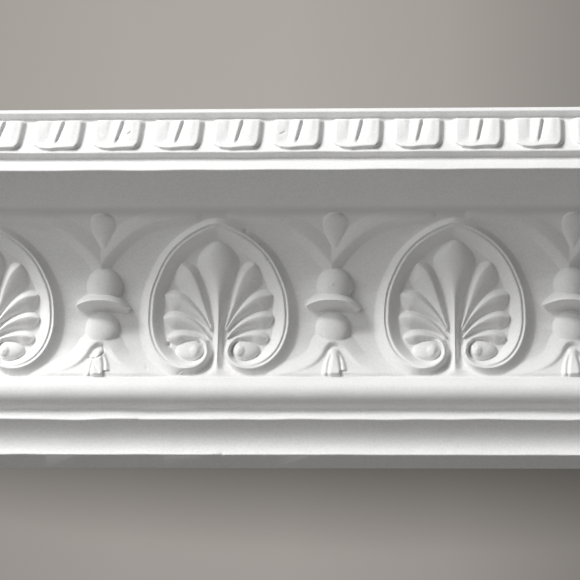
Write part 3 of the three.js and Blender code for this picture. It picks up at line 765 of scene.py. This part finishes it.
def close_behind(mesh, column, row, columns, rows, sizes):
    """Adds the ceiling strip, the flat diagonal back, the wall strip and the two square ends."""
    index = np.empty((rows, columns), dtype=int)
    index[row, column] = np.arange(len(row))
    half = CASTING_HIGH[0]
    strip_y = CASTING_LOW[1] + sizes["ceiling_strip"] * MM
    strip_z = CASTING_LOW[2] + sizes["wall_strip"] * MM
    shell = bmesh.new()
    shell.from_mesh(mesh)
    shell.verts.ensure_lookup_table()
    left = [shell.verts[i] for i in index[:, 0]]
    right = [shell.verts[i] for i in index[:, -1]]
    top = [shell.verts[i] for i in index[-1, :]]
    bottom = [shell.verts[i] for i in index[0, :]]
    corners = {
        (side, place): shell.verts.new((side * half, *yz))
        for side in (-1, 1)
        for place, yz in {"ceiling": (strip_y, CASTING_HIGH[2]), "wall": (0.0, strip_z)}.items()
    }
    shell.faces.new(top + [corners[1, "ceiling"], corners[-1, "ceiling"]])
    shell.faces.new([corners[-1, "ceiling"], corners[1, "ceiling"], corners[1, "wall"], corners[-1, "wall"]])
    shell.faces.new([corners[-1, "wall"], corners[1, "wall"]] + bottom[::-1])
    shell.faces.new(left + [corners[-1, "ceiling"], corners[-1, "wall"]])
    shell.faces.new(right + [corners[1, "ceiling"], corners[1, "wall"]])
    bmesh.ops.recalc_face_normals(shell, faces=shell.faces)
    shell.to_mesh(mesh)
    shell.free()
    mesh.update()


def deselect_all():
    for other in bpy.context.selected_objects:
        other.select_set(False)


def link(tree, source, output, target, socket):
    """Joins one node's output to another's input, each by name or place."""
    tree.links.new(source.outputs[output], target.inputs[socket])


def add_node(tree, kind, **values):
    """A new node of the given kind, with values on the inputs named."""
    node = tree.nodes.new(kind)
    for name, value in values.items():
        node.inputs[name].default_value = value
    return node


def add_group(name, inputs, outputs):
    """A new node group with its sockets by name and kind, and its input and output nodes."""
    tree = bpy.data.node_groups.new(name, "ShaderNodeTree")
    for way, sockets in (("INPUT", inputs), ("OUTPUT", outputs)):
        for socket, kind in sockets.items():
            tree.interface.new_socket(name=socket, in_out=way, socket_type=kind)
    return tree, tree.nodes.new("NodeGroupInput"), tree.nodes.new("NodeGroupOutput")


# The noises of the plaster: scale per metre where it is fixed, detail, and height in metres.
GRAIN_DETAIL = 3.0
TROWEL_SCALE, TROWEL_DETAIL, TROWEL_HEIGHT = 90.0, 2.0, 0.0002
PATCH_SCALE, PATCH_DETAIL = 26.0, 4.0
SHADE_PLACE, PAINT_PLACE = 0.35, 0.6
GLOSS_SPREAD = 0.06
PAINT_SPECULAR = 0.25
# Sockets of a colour mix node, whose names are shared with those of its other data types.
MIX_FACTOR, MIX_FIRST, MIX_SECOND, MIX_RESULT = 0, 6, 7, 2


def fill_ramp(ramp, stops):
    """Gives a colour ramp its stops, each a place and a colour."""
    while len(ramp.elements) < len(stops):
        ramp.elements.new(0.5)
    for element, (place, colour) in zip(ramp.elements, stops):
        element.position = place
        element.color = (*colour, 1.0)


def grain_group():
    """Plaster grain and broader trowel unevenness as a normal, and masks of its patches and speckle."""
    tree, given, result = add_group(
        "Plaster grain",
        {"Grain scale": "NodeSocketFloat", "Grain height": "NodeSocketFloat"},
        {"Normal": "NodeSocketVector", "Patches": "NodeSocketFloat", "Speckle": "NodeSocketFloat"})
    place = add_node(tree, "ShaderNodeTexCoord")
    grain = add_node(tree, "ShaderNodeTexNoise", Detail=GRAIN_DETAIL)
    broad = add_node(tree, "ShaderNodeTexNoise", Scale=TROWEL_SCALE, Detail=TROWEL_DETAIL)
    patches = add_node(tree, "ShaderNodeTexNoise", Scale=PATCH_SCALE, Detail=PATCH_DETAIL)
    for noise in (grain, broad, patches):
        link(tree, place, "Object", noise, "Vector")
    fine_bump = add_node(tree, "ShaderNodeBump", Strength=1.0)
    broad_bump = add_node(tree, "ShaderNodeBump", Strength=1.0, Distance=TROWEL_HEIGHT)
    link(tree, given, "Grain scale", grain, "Scale")
    link(tree, given, "Grain height", fine_bump, "Distance")
    link(tree, grain, "Fac", fine_bump, "Height")
    link(tree, broad, "Fac", broad_bump, "Height")
    link(tree, fine_bump, "Normal", broad_bump, "Normal")
    link(tree, broad_bump, "Normal", result, "Normal")
    link(tree, patches, "Fac", result, "Patches")
    link(tree, grain, "Fac", result, "Speckle")
    return tree


def corner_group():
    """Mask of the painted shade along the inner corner at the top of the coved frieze."""
    tree, given, result = add_group(
        "Corner painted shade",
        {"Corner": "NodeSocketVector", "Reach": "NodeSocketFloat"},
        {"Mask": "NodeSocketFloat"})
    place = add_node(tree, "ShaderNodeTexCoord")
    section = add_node(tree, "ShaderNodeVectorMath")
    section.operation = "MULTIPLY"
    section.inputs[1].default_value = (0.0, 1.0, 1.0)
    distance = add_node(tree, "ShaderNodeVectorMath")
    distance.operation = "DISTANCE"
    fade = add_node(tree, "ShaderNodeMapRange")
    fade.interpolation_type = "SMOOTHSTEP"
    fade.inputs["To Min"].default_value = 1.0
    fade.inputs["To Max"].default_value = 0.0
    link(tree, place, "Object", section, 0)
    link(tree, section, "Vector", distance, 0)
    link(tree, given, "Corner", distance, 1)
    link(tree, distance, "Value", fade, "Value")
    link(tree, given, "Reach", fade, "From Max")
    link(tree, fade, "Result", result, "Mask")
    return tree


def plaster_material(look, corner):
    """White painted plaster: matt, faintly patchy, finely grained, with painted shade in the frieze's top
    corner.
    """
    material = bpy.data.materials.new("White painted plaster")
    material.use_nodes = True
    tree = material.node_tree
    shader = tree.nodes["Principled BSDF"]
    shader.inputs["Specular IOR Level"].default_value = PAINT_SPECULAR
    grain = add_node(tree, "ShaderNodeGroup")
    grain.node_tree = grain_group()
    grain.inputs["Grain scale"].default_value = 1.0 / look.grain
    grain.inputs["Grain height"].default_value = look.grain_height
    dulling = add_node(tree, "ShaderNodeMix", Factor=look.speckle)
    colour = add_node(tree, "ShaderNodeValToRGB")
    fill_ramp(colour.color_ramp, [(SHADE_PLACE, look.paint_shade), (PAINT_PLACE, look.paint)])
    link(tree, grain, "Patches", dulling, "A")
    link(tree, grain, "Speckle", dulling, "B")
    link(tree, dulling, "Result", colour, "Fac")
    # Painted shade: the base colour darkens towards the inner corner at the top of the frieze.
    shade_mask_in_corner = add_node(tree, "ShaderNodeGroup")
    shade_mask_in_corner.node_tree = corner_group()
    shade_mask_in_corner.inputs["Corner"].default_value = corner
    shade_mask_in_corner.inputs["Reach"].default_value = look.corner_reach
    colour_shaded_in_corner = add_node(tree, "ShaderNodeMix")
    colour_shaded_in_corner.data_type = "RGBA"
    colour_shaded_in_corner.inputs[MIX_SECOND].default_value = (*look.corner_painted_shade, 1.0)
    link(tree, shade_mask_in_corner, "Mask", colour_shaded_in_corner, MIX_FACTOR)
    link(tree, colour, "Color", colour_shaded_in_corner, MIX_FIRST)
    link(tree, colour_shaded_in_corner, MIX_RESULT, shader, "Base Color")
    gloss = add_node(tree, "ShaderNodeMapRange")
    gloss.inputs["To Min"].default_value = look.roughness - GLOSS_SPREAD
    gloss.inputs["To Max"].default_value = look.roughness + GLOSS_SPREAD
    link(tree, grain, "Patches", gloss, "Value")
    link(tree, gloss, "Result", shader, "Roughness")
    link(tree, grain, "Normal", shader, "Normal")
    return material


FLOOR_ROUGHNESS = 0.9
# The way from the part to the low left lamp.
SIDE_LIGHT_DIRECTION = (-0.70, -0.68, -0.20)


def add_floor(look):
    """A plain floor far below the cornice."""
    deselect_all()
    bpy.ops.mesh.primitive_plane_add(size=look.floor_width, location=(0, 0, CASTING_LOW[2] - look.floor_drop))
    floor = bpy.context.object
    floor.name = "studio_floor"
    material = bpy.data.materials.new("Pale studio floor")
    material.use_nodes = True
    shader = material.node_tree.nodes["Principled BSDF"]
    shader.inputs["Base Color"].default_value = (*look.floor_colour, 1.0)
    shader.inputs["Roughness"].default_value = FLOOR_ROUGHNESS
    floor.data.materials.append(material)


def add_softbox(name, light_on_cornice, distance, width, direction):
    """A round softbox that stands in the given direction and gives so much light per area at the cornice."""
    data = bpy.data.lights.new(name, "AREA")
    data.shape = "DISK"
    data.size = width
    data.energy = light_on_cornice * math.pi * distance ** 2
    lamp = bpy.data.objects.new(name, data)
    towards = Vector(direction).normalized()
    middle = Vector((0.0, CASTING_LOW[1] / 2, (CASTING_LOW[2] + CASTING_HIGH[2]) / 2))
    lamp.location = middle + towards * distance
    lamp.rotation_euler = towards.to_track_quat("Z", "Y").to_euler()
    lamp.visible_camera = False
    bpy.context.scene.collection.objects.link(lamp)


def add_lights(look):
    left, height = look.key_azimuth, look.key_height
    key = (-math.sin(left), -math.cos(left) * math.cos(height), math.cos(left) * math.sin(height))
    add_softbox("key_light", look.key_power, look.key_distance, look.key_width, key)
    add_softbox(
        "side_light", look.side_power, look.side_distance, look.side_width, SIDE_LIGHT_DIRECTION)


# Backdrop tones by the upward part of the view direction, from level to straight up. The dark stops at 0.652
# and 0.70 paint a shadow on the backdrop just below the cornice.
BACKDROP_TONES_AND_SHADOW = [
    (0.0, (0.33, 0.31, 0.29)), (0.598, (0.35, 0.325, 0.305)), (0.62, (0.36, 0.335, 0.31)),
    (0.652, (0.125, 0.118, 0.107)), (0.70, (0.20, 0.19, 0.18)), (0.74, (0.43, 0.405, 0.375)),
    (0.80, (0.42, 0.39, 0.36)), (1.0, (0.4, 0.38, 0.35)),
]
# The backdrop darkens towards the sides as painted shade, by the sideways part of the view direction, left to
# right.
BACKDROP_LEFT, BACKDROP_RIGHT = -0.19, 0.09
BACKDROP_SIDE_SHADE = [(0.0, 0.88), (0.25, 0.98), (0.5, 1.0), (0.75, 0.88), (1.0, 0.6)]


def add_surroundings(look):
    """Even white room light, and a warm grey backdrop that only the camera sees, with a painted shadow band
    just below the cornice and painted shade towards the sides.
    """
    world = bpy.data.worlds.new("Studio room")
    world.use_nodes = True
    bpy.context.scene.world = world
    tree = world.node_tree
    for node in list(tree.nodes):
        tree.nodes.remove(node)
    result = add_node(tree, "ShaderNodeOutputWorld")
    white = (1.0, 1.0, 1.0, 1.0)
    light = add_node(tree, "ShaderNodeBackground", Color=white, Strength=look.room_light)
    backdrop = add_node(tree, "ShaderNodeBackground")
    direction = add_node(tree, "ShaderNodeTexCoord")
    parts = add_node(tree, "ShaderNodeSeparateXYZ")
    tones = add_node(tree, "ShaderNodeValToRGB")
    # Painted shadow: the backdrop's tones hold a dark band just below the cornice.
    fill_ramp(tones.color_ramp, BACKDROP_TONES_AND_SHADOW)
    reach = add_node(tree, "ShaderNodeMapRange")
    reach.inputs["From Min"].default_value = BACKDROP_LEFT
    reach.inputs["From Max"].default_value = BACKDROP_RIGHT
    # Painted shade: the backdrop darkens towards the sides.
    sides = add_node(tree, "ShaderNodeValToRGB")
    fill_ramp(sides.color_ramp, [(place, (level, level, level)) for place, level in BACKDROP_SIDE_SHADE])
    seen = add_node(tree, "ShaderNodeLightPath")
    mix = add_node(tree, "ShaderNodeMixShader")
    link(tree, direction, "Generated", parts, "Vector")
    link(tree, parts, "Z", tones, "Fac")
    link(tree, parts, "X", reach, "Value")
    link(tree, reach, "Result", sides, "Fac")
    link(tree, tones, "Color", backdrop, "Color")
    link(tree, sides, "Color", backdrop, "Strength")
    link(tree, seen, "Is Camera Ray", mix, "Fac")
    link(tree, light, "Background", mix, 1)
    link(tree, backdrop, "Background", mix, 2)
    link(tree, mix, "Shader", result, "Surface")


def add_camera(context, look):
    """Looks up along the cornice's diagonal, square on to the chord of the cove."""
    profile = Profile(in_mm(context.scene.cornice_sizes))
    rise = look.picture_middle_rise
    aim = Vector((
        -look.picture_middle_x,
        -(profile.base[0] * MM + rise * DIAGONAL),
        CASTING_LOW[2] + profile.base[1] * MM + rise * DIAGONAL))
    towards = Vector((0.0, -DIAGONAL, -DIAGONAL))
    up = Vector((0.0, -DIAGONAL, DIAGONAL))
    right = Vector((1.0, 0.0, 0.0))
    back = towards * math.cos(look.camera_yaw) + right * math.sin(look.camera_yaw)
    side = up.cross(back).normalized()
    data = bpy.data.cameras.new("photo_camera")
    data.lens = data.sensor_width * look.camera_distance / look.picture_width
    camera = bpy.data.objects.new("photo_camera", data)
    axes = Matrix((side, up, back)).transposed() @ Matrix.Rotation(look.camera_roll, 3, "Z")
    camera.matrix_world = Matrix.Translation(aim + back * look.camera_distance) @ axes.to_4x4()
    context.scene.collection.objects.link(camera)
    context.scene.camera = camera


class CORNICE_OT_add_casting(bpy.types.Operator):
    """Model the plaster casting with its ornament"""
    bl_idname = "cornice.add_casting"
    bl_label = "Add Plaster Casting"

    def execute(self, context):
        add_casting(context)
        return {"FINISHED"}


class CORNICE_OT_add_stage(bpy.types.Operator):
    """Set up the floor, the lights and the camera"""
    bl_idname = "cornice.add_stage"
    bl_label = "Add Stage"

    def execute(self, context):
        look = context.scene.cornice_stage
        context.scene.view_settings.view_transform = "Standard"
        add_floor(look)
        add_lights(look)
        add_surroundings(look)
        add_camera(context, look)
        return {"FINISHED"}


class CORNICE_PT_panel(bpy.types.Panel):
    bl_label = "Plaster Cornice"
    bl_idname = "CORNICE_PT_panel"
    bl_space_type = "VIEW_3D"
    bl_region_type = "UI"
    bl_category = "Cornice"

    def draw(self, context):
        layout = self.layout
        for operator in OPERATORS:
            layout.operator(operator.bl_idname)
        for title, name in (
                ("Sizes", "cornice_sizes"), ("Relief", "cornice_relief"),
                ("Plaster", "cornice_look"), ("Stage", "cornice_stage")):
            group = getattr(context.scene, name)
            box = layout.box()
            box.label(text=title)
            for key in group.bl_rna.properties.keys():
                if key not in {"rna_type", "name"}:
                    box.prop(group, key)


OPERATORS = (CORNICE_OT_add_casting, CORNICE_OT_add_stage)
GROUPS = {
    "cornice_sizes": CorniceSizes, "cornice_relief": CorniceRelief,
    "cornice_look": PlasterLook, "cornice_stage": StageLook,
}


def register():
    for name, group in GROUPS.items():
        bpy.utils.register_class(group)
        setattr(bpy.types.Scene, name, bpy.props.PointerProperty(type=group))
    for item in (*OPERATORS, CORNICE_PT_panel):
        bpy.utils.register_class(item)


def unregister():
    for item in (CORNICE_PT_panel, *reversed(OPERATORS)):
        bpy.utils.unregister_class(item)
    for name, group in GROUPS.items():
        delattr(bpy.types.Scene, name)
        bpy.utils.unregister_class(group)


def main():
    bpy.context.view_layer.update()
    register()
    bpy.ops.cornice.add_casting()
    bpy.ops.cornice.add_stage()


if __name__ == "__main__":
    main()
